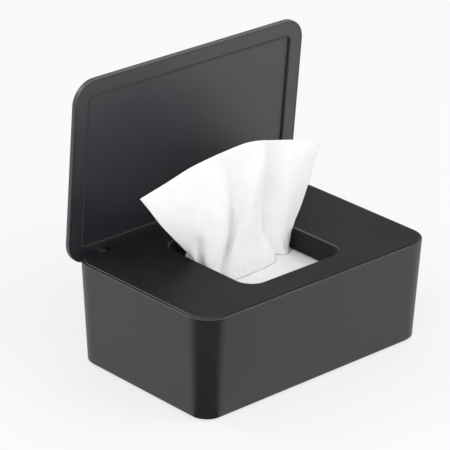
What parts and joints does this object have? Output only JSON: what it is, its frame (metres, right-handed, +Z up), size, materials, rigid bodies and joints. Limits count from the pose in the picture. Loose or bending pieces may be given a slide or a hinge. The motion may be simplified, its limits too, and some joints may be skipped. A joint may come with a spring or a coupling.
{
  "type": "countertop wipes dispenser",
  "caption": "Rounded black plastic tub with a lift-off deck, a flat hinged lid standing open and a white wipe pulled up through the rounded opening.",
  "frame": {"origin": "on the surface it stands on, under the middle of the tub", "axes": "+X along the long front side to the right, +Y from the front to the hinge side, +Z up"},
  "size_m": [0.185, 0.1277, 0.1779],
  "materials": {
    "tub_plastic": "satin black moulded plastic",
    "deck_plastic": "satin black moulded plastic",
    "lid_plastic": "satin black moulded plastic",
    "silicone": "matt black silicone",
    "pin_steel": "ground steel",
    "wipe_fabric": "white nonwoven"
  },
  "bodies": {
    "tub": {"tub": "tub_plastic", "foot_front_left": "silicone", "foot_front_right": "silicone", "foot_back_left": "silicone", "foot_back_right": "silicone", "wipe_stack": "wipe_fabric", "next_wipe": "wipe_fabric"},
    "deck": {"deck": "deck_plastic", "hinge_pin_left": "pin_steel", "hinge_pin_right": "pin_steel"},
    "lid": {"lid_shell": "lid_plastic", "lid_liner": "lid_plastic", "lid_seal": "silicone"},
    "wipe": {"pulled_wipe": "wipe_fabric"}
  },
  "joints": [
    {"name": "deck_lift", "type": "slide", "parent": "tub", "child": "deck", "axis": [0, 0, 1], "range_m": [0, 0.06]},
    {"name": "lid_hinge", "type": "hinge", "parent": "deck", "child": "lid", "pos_m": [0, 0.0572, 0.061], "axis": [1, 0, 0], "range_deg": [0, 85.6], "deforming": ["pulled_wipe"]},
    {"name": "wipe_pull", "type": "slide", "parent": "deck", "child": "wipe", "axis": [0, 0, 1], "range_m": [0, 0.1]}
  ]
}
